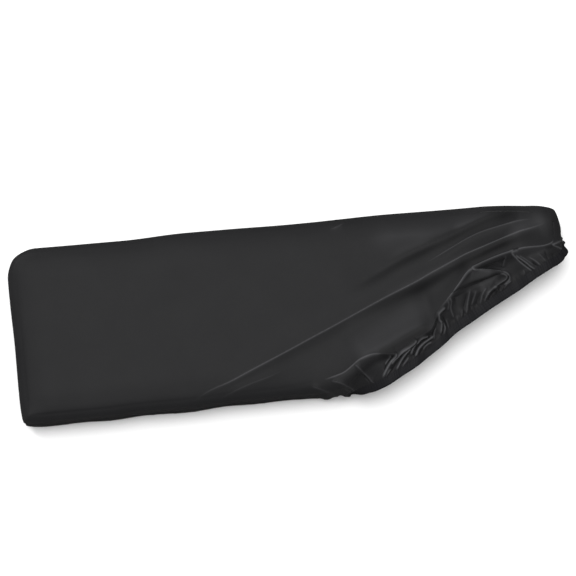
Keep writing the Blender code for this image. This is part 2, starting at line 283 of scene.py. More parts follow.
# %% Top panel


def fall(distance, reach):
    """Share of an edge's height felt at a distance from it: (1 - d / reach) squared."""
    return (1 - np.minimum(distance / reach, 1)) ** 2


long_way, short_way = len(columns) - 1, ROW_COUNT
ring = np.vstack([edge, edge[:1]])
front = ring[: long_way + 1]
east = ring[long_way : long_way + short_way + 1]
rear = ring[long_way + short_way : 2 * long_way + short_way + 1][::-1]
west = ring[2 * long_way + short_way :][::-1]
u, v = columns[:, None, None], rows_up[None, :, None]
plan = (1 - v) * front[:, None, :2] + v * rear[:, None, :2]
plan += (1 - u) * west[None, :, :2] + u * east[None, :, :2]
plan -= (1 - v) * ((1 - u) * front[0, :2] + u * front[-1, :2])
plan -= v * ((1 - u) * rear[0, :2] + u * rear[-1, :2])
depth = np.linalg.norm(rear[:, :2] - front[:, :2], axis=1)
width = np.linalg.norm(front[-1, :2] - front[0, :2])
front_reach = DROOP_REACH + (LIFTED_REACH - DROOP_REACH) * front[:, 5]
front_reach = np.minimum(front_reach, MOST_REACH_OF_COLUMN * depth)
rear_reach = np.minimum(DROOP_REACH, MOST_REACH_OF_COLUMN * depth)
from_front = fall(rows_up[None, :] * depth[:, None], front_reach[:, None])
from_rear = fall((1 - rows_up)[None, :] * depth[:, None], rear_reach[:, None])
from_west = fall(columns * width, DROOP_REACH)[:, None]
from_east = fall((1 - columns) * width, DROOP_REACH)[:, None]
height = front[:, None, 2] * from_front + rear[:, None, 2] * from_rear
height += west[None, :, 2] * from_west + east[None, :, 2] * from_east
height -= from_west * (front[0, 2] * from_front + rear[0, 2] * from_rear)
height -= from_east * (front[-1, 2] * from_front + rear[-1, 2] * from_rear)
panel = np.dstack([plan, height])
side_reach = np.full(short_way, DROOP_REACH)
reaches = np.concatenate([
    front_reach[:-1], side_reach, rear_reach[::-1][:-1], side_reach,
])
print("top panel", panel.shape)

# %% [markdown]
# Below the crest each station has a section: a smooth curve with six control points. A
# hanging section goes over the shoulder, down the wall and in under the instrument. A
# lifted one rolls over the crest and lies along the top. Mixing the control points of the
# two by the lift gives the twist where the side comes off the wall. The tape then carries
# on past the seam, in the direction in which the cloth ends.

# %% Side cloth
SECTION = (
    # hang_out, hang_down, lift_out, lift_of_crest, lift_up
    (1.0, 0.42, 0.24, 0.62, 0.0),
    (1.0, 0.72, 0.52, 0.25, 3.0),
)
CREST_LEAD = 0.06
STAND_OFF = (0.0, 0.0, 0.75, 1.0, 1.0)
SEAM_UP = 2.0
SEAM_LEG = 12.0
LIFTED_LEG = 0.2
HANGING_DIP = 0.25
LIFTED_DIP = 0.12
TURNING_DIP = 1.6


def spline_weights(place):
    """Weights of the six control points of a clamped quadratic B-spline at a place."""
    knots = np.array([0, 0, 0, 0.25, 0.5, 0.75, 1, 1, 1])
    place = min(place, 1 - 1e-9)
    weights = ((knots[:-1] <= place) & (place < knots[1:])).astype(float)
    for degree in (1, 2):
        raised = np.zeros(len(weights) - 1)
        for i in range(len(raised)):
            low = knots[i + degree] - knots[i]
            high = knots[i + degree + 1] - knots[i + 1]
            if low > 0:
                raised[i] += (place - knots[i]) / low * weights[i]
            if high > 0:
                raised[i] += (knots[i + degree + 1] - place) / high * weights[i + 1]
        weights = raised
    return weights


def loop_run(loop):
    """Direction of a closed loop at each point, midway between the two steps beside it."""
    ahead = unit(np.roll(loop, -1, axis=0) - loop)
    return unit(ahead + np.roll(ahead, 1, axis=0))


def side_controls(edge, reaches):
    """Six control points for each station of the side cloth, and the way it ends."""
    crest, foot, lift = edge[:, :3], edge[:, 3:5], edge[:, 5]
    across = foot - crest[:, :2]
    width = np.linalg.norm(across, axis=1)
    outward = across / width[:, None]
    cloth_width = np.maximum(width - TAPE_WIDTH, SHOULDER)
    slope = 2 * crest[:, 2] / reaches
    lead = CREST_LEAD * cloth_width
    dip = (1 - lift) * HANGING_DIP + lift * LIFTED_DIP + lift * (1 - lift) * TURNING_DIP
    tape_out = TAPE_WIDTH * np.maximum(2 * lift - 1, 0) / np.hypot(2 * lift - 1, dip)
    hem_out = (1 - lift) * (width - HEM_TURN) + lift * cloth_width
    off_wall = np.minimum(2 * lift, 1) * np.maximum(width - hem_out - tape_out, 0)
    hanging = [(np.zeros_like(width), crest[:, 2])]
    hanging.append((width, crest[:, 2] + slope * SHOULDER))
    lifted = [hanging[0], (lead, crest[:, 2] + slope * lead)]
    for hang_out, hang_down, lift_out, lift_of_crest, lift_up in SECTION:
        hanging.append((hang_out * width, np.full_like(width, -hang_down * WALL_DROP)))
        lifted.append((lift_out * cloth_width, lift_of_crest * crest[:, 2] + lift_up))
    hanging.append((width - HEM_TURN, np.full_like(width, -WALL_DROP - HEM_DIP)))
    lifted.append((cloth_width, np.full_like(width, SEAM_UP)))
    controls = []
    for (low_out, low_z), (high_out, high_z), share in zip(hanging, lifted, STAND_OFF):
        out = (1 - lift) * low_out + lift * high_out + share * off_wall
        z = (1 - lift) * low_z + lift * high_z
        controls.append(np.column_stack([crest[:, :2] + outward * out[:, None], z]))
    onward = np.column_stack([outward * (2 * lift - 1)[:, None], -dip])
    run = loop_run(controls[-1])
    turning = 4 * lift * (1 - lift)
    onward = unit(onward - (turning * (onward * run).sum(axis=1))[:, None] * run)
    leg = (1 - lift) * SEAM_LEG + lift * LIFTED_LEG * cloth_width
    controls.insert(-1, controls[-1] - leg[:, None] * onward)
    return np.array(controls), onward


LEANS = (
    # number of the station, and millimetres by which the hem trails behind the crest there
    (0, 0.0), (7, 0.0), (8, 14.0), (9, 26.0), (12, 38.0), (13, 34.0), (14, 14.0), (15, 2.0),
    (17, -3.0), (18, -10.0), (19, -22.0), (21, -20.0), (22, -8.0), (23, 0.0),
)


def around(values, at):
    """Values of a closed loop read at other distances, in straight lines between points."""
    keys = np.append(along, total_length)
    closed = np.vstack([values, values[:1]])
    at = np.mod(at, total_length)
    return np.column_stack([np.interp(at, keys, column) for column in closed.T])


controls, onward = side_controls(edge, reaches)
lean_keys = [station_keys[number] for number, _ in LEANS]
lean_along = np.interp(along, lean_keys, [lean for _, lean in LEANS])
places = np.linspace(0, 1, PLACE_COUNT + 1)[1:]
distances = along - places[:, None] * lean_along
rings = np.array([
    around(np.tensordot(spline_weights(place), controls, axes=1), at)
    for place, at in zip(places, distances)
])
ring_lift = np.array([around(lift[:, None], at)[:, 0] for at in distances])
tape_edge = rings[-1] + (SEAM_GAP + TAPE_WIDTH) * unit(around(onward, distances[-1]))
print("side cloth", rings.shape)

# %% [markdown]
# Top panel, side cloth and tape are one grid for now, so that they share their normals and
# no step shows between them. A normal is the sum of the cross products of the diagonals of
# the quads round a point.

# %% One grid for cloth and tape


def grid_quads(across, up, ring_count, per_ring):
    """Quads of the top panel, then of each band between two rings, all facing out."""
    index = np.arange(across * up).reshape(across, up)
    top = quad_corners(index).reshape(-1, 4)
    inner = np.concatenate(
        [index[:-1, 0], index[-1, :-1], index[1:, -1][::-1], index[0, 1:][::-1]]
    )
    bands = []
    for number in range(ring_count):
        outer = across * up + number * per_ring + np.arange(per_ring)
        sides = (inner, outer, np.roll(outer, -1), np.roll(inner, -1))
        bands.append(np.column_stack(sides))
        inner = outer
    return top, bands


def point_normals(points, quads):
    """Unit normals, each the sum of the cross diagonals of the quads round a point."""
    a, b, c, d = (points[quads[:, i]] for i in range(4))
    crosses = np.cross(c - a, d - b)
    normals = np.zeros_like(points)
    for i in range(4):
        for axis in range(3):
            normals[:, axis] += np.bincount(
                quads[:, i], weights=crosses[:, axis], minlength=len(points)
            )
    return unit(normals)


top_quads, bands = grid_quads(*panel.shape[:2], len(rings) + 1, len(edge))
all_quads = np.vstack([top_quads, *bands])
base = np.vstack([panel.reshape(-1, 3), rings.reshape(-1, 3), tape_edge])
panel_count = panel.shape[0] * panel.shape[1]
side_place = np.append(np.repeat(places, len(edge)), np.ones(len(edge)))
side_along = np.append(distances.ravel(), distances[-1])
side_lift = np.append(ring_lift.ravel(), ring_lift[-1])
print("grid", len(base), "points")

# %% [markdown]
# Pulled cloth lies in flat facets between its folds, like the flap of an envelope. The three
# largest on the strip are made first. Inside its outline the cloth is drawn onto the plane
# through the corners, and the step round it stands for the edge of the upper layer.

# %% Facets of the lifted side
FACETS = (
    # softness of the edge, then corners x, y, z counterclockwise: flap, side under it, recess
    (2.5, ((313, 8, 17.5), (419, 43, 16.0), (358, 54, 20.0))),
    (4.0, ((317, 4, 11.0), (322, -38, 4.0), (390, 4, 4.5), (409, 37, 9.0))),
    (3.0, ((366, 55, 9.0), (421, 48, 6.0), (428, 71, 13.0), (397, 64, 14.0))),
)


def smooth_step(share):
    """Smooth rise from 0 to 1: 3 t^2 - 2 t^3."""
    share = np.clip(share, 0, 1)
    return share**2 * (3 - 2 * share)


def lay_facet(points, soft, corners):
    """Draw the points inside a convex outline onto the plane through its corners.

    The share of the plane is a smooth step of the distance inside the nearest edge.
    """
    corners = np.array(corners, float)
    level = np.column_stack([corners[:, :2], np.ones(len(corners))])
    plane = np.linalg.lstsq(level, corners[:, 2], rcond=None)[0]
    sides = np.roll(corners, -1, axis=0)[:, :2] - corners[:, :2]
    lengths = np.linalg.norm(sides, axis=1)
    away_x = points[:, 0, None] - corners[None, :, 0]
    away_y = points[:, 1, None] - corners[None, :, 1]
    inside = (sides[:, 0] * away_y - sides[:, 1] * away_x) / lengths
    share = smooth_step(inside.min(axis=1) / soft)
    target = points[:, 0] * plane[0] + points[:, 1] * plane[1] + plane[2]
    laid = points.copy()
    laid[:, 2] += share * (target - points[:, 2])
    return laid


for soft, corners in FACETS:
    base = lay_facet(base, soft, corners)
base_normals = point_normals(base, all_quads)
print("facets", len(FACETS))

# %% [markdown]
# A fold is a raised line: round on its crown and falling away on both sides, often steeper
# on one side than on the other. It could be sculpted, but a table of curves is easier to
# correct against the real cloth. A negative height makes a groove. The mesh holds the body of
# each fold. Its crown is finer than the mesh, so each point also keeps how far it lies from the
# nearest crown, and the shader draws the crown from that. The bottom of a narrow groove is kept
# and drawn in the same way.

# %% Fold shape
STEPS_BETWEEN_POINTS = 8
FAR_FLANKS = 6
CROWN_FLANKS = (0.9, 1.5)
GROOVE_FLANKS = (1.2, 1.2)
CROWN_REACH = 3.5
CROWN_REACH_ON_TOP = 8.0


def fold_line(points):
    """Curve through the points: cubic Hermite pieces, with slopes from the neighbours."""
    points = np.array(points, float)
    slopes = np.gradient(points, axis=0)
    at = np.linspace(0, len(points) - 1, STEPS_BETWEEN_POINTS * (len(points) - 1) + 1)
    this = np.minimum(at.astype(int), len(points) - 2)
    x = (at - this)[:, None]
    line = points[this] * (1 + 2 * x) * (1 - x) ** 2 + slopes[this] * x * (1 - x) ** 2
    line += points[this + 1] * (3 - 2 * x) * x**2 + slopes[this + 1] * (x - 1) * x**2
    return line[:, 0], line[:, 1]


def beside_line(x, y, line_x, line_y, first, last):
    """Signed distance of each point from a line, left positive, and the line's taper."""
    step_x, step_y = np.diff(line_x), np.diff(line_y)
    length = np.hypot(step_x, step_y)
    starts = np.concatenate([[0.0], np.cumsum(length)])
    away_x, away_y = x[:, None] - line_x[:-1], y[:, None] - line_y[:-1]
    share = np.clip((away_x * step_x + away_y * step_y) / length**2, 0, 1)
    off_x, off_y = away_x - share * step_x, away_y - share * step_y
    gaps = np.hypot(off_x, off_y)
    nearest = gaps.argmin(axis=1)
    pick = np.arange(len(x)), nearest
    travelled = starts[nearest] + share[pick] * length[nearest]
    side = step_x[nearest] * off_y[pick] - step_y[nearest] * off_x[pick]
    taper = smooth_step(travelled / first) * smooth_step((starts[-1] - travelled) / last)
    return np.where(side > 0, gaps[pick], -gaps[pick]), taper


def raise_folds(points, folds, reach=CROWN_REACH):
    """Height that a table of folds adds to each point, and what the shader needs of them.

    The height is h * taper * exp(-(sqrt(d * d + c * c) - c) / flank), where d is the
    distance and c the crown. Crowns that lie close together go to different channels.
    """
    x, y = points[:, 0], points[:, 1]
    raised = np.zeros(len(points))
    channels = []
    for high, crown, left, right, first, last, crown_height, line in folds:
        line_x, line_y = fold_line(line)
        margin = FAR_FLANKS * max(left, right)
        near = (x > line_x.min() - margin) & (x < line_x.max() + margin)
        near &= (y > line_y.min() - margin) & (y < line_y.max() + margin)
        distance, taper = beside_line(x[near], y[near], line_x, line_y, first, last)
        flank = np.where(distance > 0, left, right)
        body = np.exp(-(np.hypot(distance, crown) - crown) / flank)
        raised[near] += high * taper * body
        # The shader draws each crown as a bump and as a painted highlight, and each groove as a bump
        # and as painted shade
        if crown_height:
            flanks = CROWN_FLANKS if crown_height > 0 else GROOVE_FLANKS
            add_crown(channels, near, distance, crown_height * taper, flanks, reach)
    return raised, channels


def add_crown(channels, near, distance, strength, flanks=CROWN_FLANKS, reach=CROWN_REACH):
    """Write a crown, or a groove with its strength below 0, into a channel free round it."""
    flank = np.where(distance > 0, *flanks)
    close = np.abs(distance) < reach * flank
    where = np.flatnonzero(near)[close]
    fade = 1 - np.abs(distance[close]) / (reach * flank[close])
    free = [channel for channel in channels if not channel[where, 1].any()]
    if not free:
        free = [np.zeros((len(near), 3))]
        channels.append(free[0])
    free[0][where, 0] = distance[close] / flank[close]
    free[0][where, 1] = strength[close] * fade


# %% [markdown]
# Cloth pulled from a corner strains in long folds that fan out from it. On the real cover
# two long sharp folds cross the top from the drawn corner, softer ones lie between them,
# and a short one sits at the back edge. They fade out down the sides.

# %% Folds of the top
TOP_FOLDS = (
    # height, crown, left flank, right flank, first taper, last taper, crown height, points
    (1.2, 2.0, 16.0, 5.0, 130, 60, 1.0,
     ((-208, -155), (-168, -135), (-127, -121), (-87, -104), (-46, -87), (-6, -70), (35, -52),
      (75, -35), (116, -17), (157, 1), (197, 18), (238, 34), (278, 51), (319, 67), (359, 81),
      (400, 95), (440, 108), (480, 121), (515, 133))),
    (1.6, 6.0, 30.0, 10.0, 120, 120, 0.0,
     ((-160, -133), (-46, -88), (75, -36), (197, 17), (299, 58))),
    (8.0, 18.0, 70.0, 14.0, 170, 50, 0.0,
     ((110, -21), (157, 0), (197, 17), (238, 33), (278, 49), (319, 65), (359, 79), (400, 93),
      (440, 106), (500, 124))),
    (4.0, 6.0, 30.0, 8.0, 90, 50, 0.0,
     ((197, 14), (238, 29), (278, 44), (319, 59), (359, 73), (400, 88), (440, 102), (500, 121))),
    (3.2, 4.0, 26.0, 8.0, 60, 50, 0.7,
     ((262, 69), (301, 87), (342, 105), (382, 120), (422, 129), (462, 137), (490, 141))),
    (7.5, 10.0, 80.0, 10.0, 110, 70, 0.0,
     ((90, 30), (135, 46), (176, 65), (218, 85), (258, 101), (299, 115), (331, 126),
      (359, 137), (389, 148), (419, 155), (459, 161))),
    (4.0, 6.0, 12.0, 42.0, 120, 40, 0.0, ((310, 156), (420, 155), (530, 154))),
    (3.0, 6.0, 12.0, 30.0, 25, 25, 0.0, ((525, 160), (525, 130), (525, 100))),
    (1.4, 3.0, 16.0, 12.0, 60, 60, 0.2,
     ((-160, -156), (-129, -143), (-89, -129), (-49, -118), (-10, -104))),
    (6.5, 9.0, 50.0, 9.0, 40, 40, 0.0,
     ((112, -114), (144, -98), (177, -83), (197, -74), (222, -64), (246, -54), (288, -38))),
    (1.4, 2.0, 5.0, 5.0, 14, 14, 0.3,
     ((91, 155), (110, 161), (125, 168))),
)
top_raised, top_channels = raise_folds(base, TOP_FOLDS, CROWN_REACH_ON_TOP)
side_fade = (1 - np.minimum(2 * side_place, 1)) ** 2
top_raised[panel_count:] *= side_fade
for channel in top_channels:
    channel[panel_count:, 1] *= side_fade
print("folds of the top", len(TOP_FOLDS), "in channels", len(top_channels))

# %% [markdown]
# A lighter colour is painted along some ridges as a painted highlight, and a darker one on
# slack slopes and in hollows as painted shade. A table of the same columns says where: its
# sum is a value at each point that the shader reads.

# %% Painted highlight and shade
PAINTED_LIGHT_ROWS = (
    # share of the painted highlight, or of the painted shade below 0, then as above
    # Painted highlight on ridges behind the two ledges and the slope between the drawn side and the
    # front ledge
    (0.16, 6.0, 12.0, 12.0, 60, 50, 0.0,
     ((150, 128), (207, 130), (246, 130), (285, 128), (325, 132), (365, 142), (404, 150),
      (440, 154))),
    (0.1, 4.0, 8.0, 8.0, 40, 40, 0.0, ((190, 84), (224, 99), (264, 111), (300, 120))),
    (0.16, 2.0, 3.0, 7.0, 20, 30, 0.0,
     ((325, 133), (345, 138), (365, 143), (385, 148), (404, 152), (450, 158))),
    (0.1, 2.0, 7.0, 2.0, 90, 40, 0.0,
     ((157, 3), (238, 36), (319, 69), (400, 97), (440, 110), (490, 126))),
    (0.22, 10.0, 12.0, 7.0, 40, 20, 0.0, ((430, 114), (470, 126), (520, 138))),
    (0.15, 3.0, 3.0, 6.0, 8, 10, 0.0, ((438, 74), (460, 78), (485, 80), (512, 81))),
    (0.13, 20.0, 12.0, 10.0, 50, 50, 0.0,
     ((90, -95), (128, -82), (165, -62), (200, -44), (240, -26), (285, -4))),
    (0.16, 3.0, 7.0, 4.0, 30, 30, 0.0,
     ((120, -104), (144, -92), (177, -79), (197, -69), (222, -59), (246, -50), (268, -42))),
    (0.22, 3.0, 3.0, 9.0, 8, 10, 0.0, ((350, 50), (372, 48), (400, 44))),
    (0.2, 4.0, 5.0, 6.0, 12, 12, 0.0, ((366, 16), (386, 24), (412, 33))),
    # Painted shade on slopes below the ledges, and in the nest under the flap
    (-0.45, 6.0, 6.0, 8.0, 90, 40, 0.0,
     ((180, 55), (222, 76), (262, 92), (303, 107), (335, 118), (363, 128), (393, 139),
      (423, 146), (463, 153))),
    (-0.35, 4.0, 5.0, 5.0, 40, 30, 0.0,
     ((303, 107), (335, 118), (363, 128), (393, 139), (423, 146), (463, 152))),
    (-0.25, 5.0, 5.0, 6.0, 90, 60, 0.0,
     ((-87, -118), (-47, -101), (14, -75), (74, -50), (145, -18), (216, 11), (297, 42))),
    (-0.35, 7.0, 5.0, 6.0, 70, 30, 0.0,
     ((216, 8), (257, 23), (297, 38), (327, 52), (357, 65), (388, 78), (418, 90), (450, 101))),
    (-0.5, 6.0, 5.0, 5.0, 40, 30, 0.0,
     ((310, 44), (327, 52), (357, 65), (388, 78), (418, 89), (450, 98))),
    (-0.65, 5.0, 4.0, 5.0, 20, 15, 0.0,
     ((160, -101), (180, -96), (200, -88), (220, -77), (244, -65), (272, -56))),
    (-0.35, 3.0, 4.0, 5.0, 12, 10, 0.0, ((380, -16), (393, -2), (407, 6), (426, 14))),
)
# Painted highlight above 0 and painted shade below 0, at each point
painted_light_and_shade = raise_folds(base, PAINTED_LIGHT_ROWS)[0]
print("stretched rows", len(PAINTED_LIGHT_ROWS), "from", round(painted_light_and_shade.min(), 2), "to", round(painted_light_and_shade.max(), 2))

# %% [markdown]
# The lifted side is a bunch of small forms: the rims of the flap, sharp tucks that spread
# from one point of the crest, long pleats that lean over beside the tape, and crumpled ones
# in the bend. Each has a row of its own here.

# %% Folds of the lifted side
STRIP_FOLDS = (
    # height, crown, left flank, right flank, first taper, last taper, crown height, points
    # Rims of the flap, its curled end and the nest of small folds under it
    (2.0, 0.8, 2.0, 12.0, 4, 8, 0.9, ((359, 53), (368, 51), (384, 49), (400, 46), (419, 43))),
    (2.6, 0.8, 2.0, 2.2, 5, 6, 0.8,
     ((417, 44), (425, 41), (430, 35), (431, 28), (426, 22), (418, 16))),
    (2.2, 0.8, 1.8, 1.8, 5, 8, 0.7,
     ((412, 41), (422, 38), (426, 33), (423, 28), (416, 24), (407, 19), (397, 13))),
    (-1.2, 1.0, 1.5, 2.0, 8, 10, -0.8, ((315, 9), (337, 19), (364, 28), (390, 34), (413, 40))),
    (-1.6, 0.8, 1.6, 1.6, 5, 6, -0.9, ((428, 37), (429, 31), (423, 24), (413, 19), (404, 15))),
    (1.8, 0.8, 1.8, 1.8, 4, 5, 0.7, ((418, 16), (416, 11), (411, 5), (407, 7), (404, 12))),
    (1.8, 0.8, 1.8, 1.8, 4, 5, 0.7, ((434, 25), (425, 19), (421, 13), (417, 6))),
    (2.4, 0.8, 1.8, 1.8, 5, 6, 1.0, ((406, 16), (397, 13), (389, 8), (383, 0), (378, -13))),
    (2.0, 0.8, 1.8, 1.8, 4, 6, 0.8, ((402, 6), (393, -2), (388, -12))),
    (1.8, 0.8, 1.8, 1.8, 6, 6, 0.6, ((385, 16), (376, 4), (372, -7), (370, -17))),
    (-1.6, 0.8, 1.8, 1.8, 4, 6, -0.9, ((404, 11), (395, 5), (389, -2), (384, -13))),
    (-1.6, 0.8, 1.8, 1.8, 4, 5, -0.8, ((412, 17), (408, 10), (401, 2))),
    # Recess between the crest and the flap
    (-1.2, 1.5, 3.0, 2.0, 6, 10, -0.7, ((368, 54), (385, 52), (404, 49), (420, 46))),
    (1.6, 1.0, 2.0, 2.2, 5, 6, 0.35, ((427, 74), (425, 66), (422, 58), (420, 50))),
    (-1.2, 1.0, 2.0, 3.0, 5, 6, -0.4, ((422, 72), (419, 64), (416, 55))),
    # Tucks that spread from one point of the crest
    (2.6, 0.8, 2.0, 1.8, 4, 6, 1.0, ((438, 77), (446, 69), (453, 60), (463, 51), (479, 37))),
    (2.4, 0.8, 2.0, 1.8, 5, 6, 1.0, ((445, 74), (457, 64), (467, 56), (475, 48), (487, 40))),
    (-1.8, 0.8, 1.6, 1.6, 6, 6, -1.0, ((449, 67), (460, 57), (471, 47), (481, 39))),
    (1.4, 0.8, 2.0, 2.0, 5, 6, 0.5, ((452, 72), (463, 65), (473, 57), (481, 50))),
    (1.6, 0.8, 2.5, 2.0, 8, 6, 0.6, ((470, 68), (483, 60), (492, 51), (500, 46))),
    (-1.4, 1.0, 2.0, 2.0, 6, 6, -0.7, ((476, 58), (484, 52), (492, 45))),
    (1.4, 1.0, 2.5, 2.5, 8, 6, 0.3, ((490, 74), (500, 62), (507, 52))),
    (-1.4, 1.2, 2.5, 2.5, 8, 6, -0.5, ((503, 78), (506, 68), (510, 57))),
    (-1.4, 1.2, 2.5, 2.5, 8, 6, -0.4, ((517, 74), (520, 65), (522, 55))),
    (1.4, 1.0, 2.0, 2.0, 4, 5, 0.4, ((459, 44), (461, 38), (458, 31))),
    (1.4, 1.0, 2.0, 2.0, 4, 6, 0.6, ((436, 76), (445, 79), (454, 81))),
    (-1.2, 0.8, 1.6, 1.6, 4, 5, -0.8, ((440, 79), (448, 81), (455, 83))),
    # Long soft pleats from the flap to the tape
    (2.6, 1.6, 3.0, 2.5, 8, 8, 0.4, ((312, 4), (312, -6), (311, -17), (313, -28), (317, -40))),
    (1.8, 1.2, 2.2, 2.2, 6, 6, 0.35, ((307, -2), (307, -12), (305, -24))),
    (2.2, 1.0, 2.6, 2.0, 8, 6, 0.45, ((353, 15), (349, 2), (344, -16), (340, -33))),
    (1.8, 1.0, 2.2, 2.0, 8, 6, 0.35, ((365, 12), (358, -4), (352, -18))),
    (1.8, 1.2, 2.5, 2.5, 8, 6, 0.3, ((336, -18), (332, -28), (330, -40))),
    (1.4, 1.2, 2.2, 2.2, 6, 5, 0.25, ((324, -32), (323, -40), (325, -48))),
    (-1.6, 1.2, 2.6, 2.6, 10, 8, -0.5, ((346, 10), (341, -6), (336, -20), (335, -38))),
    (-1.4, 1.2, 2.4, 2.4, 10, 8, -0.4, ((359, 8), (353, -8), (347, -24))),
    (-1.4, 1.2, 2.4, 2.4, 10, 8, -0.4, ((372, 10), (366, -4), (358, -22))),
    # Crumpled pleats in the bend
    (2.8, 0.8, 2.0, 2.2, 5, 8, 0.8,
     ((301, -15), (291, -23), (286, -29), (287, -38), (291, -46), (289, -57), (286, -68))),
    (2.4, 0.8, 1.8, 2.0, 6, 6, 0.7, ((288, -39), (294, -46), (297, -55), (295, -64), (293, -71))),
    (2.0, 0.8, 2.0, 2.0, 5, 6, 0.5, ((280, -52), (277, -58), (274, -66), (273, -77))),
    (1.8, 1.0, 2.0, 2.0, 6, 6, 0.4, ((300, -38), (303, -49), (305, -60))),
    (-2.2, 0.8, 1.8, 1.8, 6, 6, -1.0, ((291, -38), (293, -50), (291, -62), (288, -71))),
    (-2.0, 1.0, 2.2, 2.2, 6, 6, -0.9, ((283, -34), (280, -47), (274, -60), (270, -70))),
    (-2.0, 1.0, 2.0, 2.0, 6, 6, -0.8, ((293, -31), (298, -43), (301, -54), (299, -66))),
    # Pleats that lean over beside the tape, and the grooves between them
    (3.2, 0.8, 1.8, 1.8, 5, 6, 1.2,
     ((240, -73), (234, -79), (227, -84), (216, -91), (205, -98), (196, -106), (186, -117))),
    (3.0, 0.8, 1.6, 1.6, 4, 6, 1.2,
     ((273, -69), (264, -75), (255, -80), (248, -85), (241, -92), (236, -101), (233, -106))),
    (3.0, 0.8, 1.6, 1.6, 5, 6, 1.1,
     ((264, -67), (250, -71), (242, -77), (236, -84), (230, -92), (225, -102))),
    (3.0, 0.8, 1.6, 1.6, 6, 6, 1.1,
     ((227, -87), (220, -94), (213, -102), (206, -111), (199, -122), (195, -129))),
    (2.6, 0.8, 1.6, 1.6, 5, 6, 0.9, ((222, -104), (216, -112), (210, -120), (206, -127))),
    (3.0, 0.8, 1.6, 1.6, 4, 8, 1.1, ((200, -97), (193, -105), (186, -113), (177, -125), (168, -141))),
    (2.4, 0.8, 1.6, 1.6, 4, 6, 0.8, ((186, -124), (179, -132), (173, -142))),
    (2.2, 0.8, 1.6, 1.6, 4, 6, 0.8, ((188, -99), (181, -108), (174, -118))),
    (2.4, 0.8, 1.6, 1.6, 4, 6, 0.9, ((270, -80), (261, -84), (254, -89), (250, -96))),
    (-2.4, 0.8, 1.4, 1.4, 6, 6, -1.3,
     ((240, -79), (233, -86), (226, -93), (219, -101), (212, -110), (206, -119))),
    (-2.4, 0.8, 1.4, 1.4, 5, 6, -1.3,
     ((268, -70), (256, -75), (248, -79), (241, -86), (235, -94), (230, -104))),
    (-2.4, 0.8, 1.4, 1.4, 5, 6, -1.3, ((271, -75), (259, -82), (250, -90), (244, -98), (240, -106))),
    (-2.4, 0.8, 1.4, 1.4, 6, 8, -1.3,
     ((210, -99), (202, -108), (192, -119), (182, -131), (171, -145))),
    (-2.0, 0.8, 1.4, 1.4, 5, 6, -1.0, ((194, -99), (186, -107), (179, -116), (172, -128))),
    # Facets where the side comes off the wall, and the pleats that run down from them
    (2.0, 1.0, 3.0, 2.5, 6, 6, 0.5, ((116, -110), (133, -127), (143, -139), (152, -150), (162, -155))),
    (1.8, 1.0, 2.5, 2.5, 6, 6, 0.4, ((134, -137), (143, -146), (153, -155))),
    (1.6, 1.5, 3.0, 3.0, 8, 8, 0.2, ((197, -101), (180, -122), (167, -146))),
    (-1.6, 1.2, 2.5, 2.5, 6, 6, -0.6, ((128, -126), (139, -141), (151, -154))),
    (2.4, 1.2, 3.0, 3.0, 10, 10, 0.5,
     ((66, -137), (85, -142), (97, -148), (113, -156), (130, -166))),
    (2.0, 1.2, 3.0, 3.0, 10, 10, 0.4, ((28, -143), (49, -151), (65, -157), (80, -164))),
    (1.6, 1.2, 3.0, 3.0, 10, 10, 0.3, ((88, -150), (104, -158), (118, -167))),
    (1.8, 1.0, 2.0, 2.2, 4, 4, 0.9, ((518, 87), (528, 91), (540, 97))),
    (1.4, 1.0, 2.0, 2.2, 4, 5, 0.8, ((519, 88), (529, 83), (541, 77))),
)
LOST_AT_SEAM = 0.6
SEAM_FADE_FROM = 0.9

strip_raised, strip_channels = raise_folds(base, STRIP_FOLDS)
near_seam = np.ones(len(base))
to_seam = np.clip((side_place - SEAM_FADE_FROM) / (1 - SEAM_FADE_FROM), 0, 1)
near_seam[panel_count:] = 1 - LOST_AT_SEAM * to_seam
near_seam[panel_count:] *= side_lift + (1 - side_lift) * side_fade
raised = top_raised + strip_raised * near_seam
for channel in strip_channels:
    channel[:, 1] *= near_seam
print("folds of the strip", len(STRIP_FOLDS), "in channels", len(strip_channels))

# %% [markdown]
# The crest is where the lifted side turns over, and the tightest fold of all. It follows a
# line of the mesh, so the distance from it is the distance up the panel or down the side.

# %% Crown of the crest
# The crown of the crest is drawn as a bump and as a painted highlight
CREST_CROWN = 0.8
CREST_LINE = (
    (55, 0), (75, 1), (140, 1), (165, 0.5), (188, 0.4), (198, 0), (290, 0), (315, 1), (519, 1),
    (523, 0),
)

up_panel = np.outer(depth, rows_up).ravel()
crest_to_side = np.vstack([edge[None, :, :3], rings])
down_steps = np.linalg.norm(np.diff(crest_to_side, axis=0), axis=2)
down = np.vstack([np.zeros(len(edge)), np.cumsum(down_steps, axis=0)])
down_side = np.append(down[1:].ravel(), down[-1] + SEAM_GAP + TAPE_WIDTH)
from_crest = np.concatenate([up_panel, -down_side])
lift_here = np.concatenate([np.repeat(front[:, 5], len(rows_up)), side_lift])
crest_channels = []
crest_share = np.interp(base[:, 0], *np.transpose(CREST_LINE)) * (lift_here > 0)
add_crown(crest_channels, np.ones(len(base), bool), from_crest, CREST_CROWN * crest_share)
channels = top_channels + strip_channels + crest_channels
print("channels", len(channels))

# %% [markdown]
# The elastic draws the hem shorter than the cloth that is sewn to it, so the cloth stands in
# small pleats beside the tape. They are drawn at random from a fixed seed: a place along the
# hem, a height, a width and how far up the cloth each one reaches. The columns of the mesh
# already lean as the pleats do, so a pleat follows its column.

# %% Pleats beside the tape
PLEAT_SEED = 7
HANGING_PLEATS = dict(pitch=17.0, height=1.5, flank=4.2, reach=0.4)
LIFTED_PLEATS = dict(pitch=6.5, height=1.5, flank=1.8, reach=0.45)
STEEP_SIDE = 0.6
SEAM_SHARE = 0.25
PLEAT_FADE_FROM = 0.92
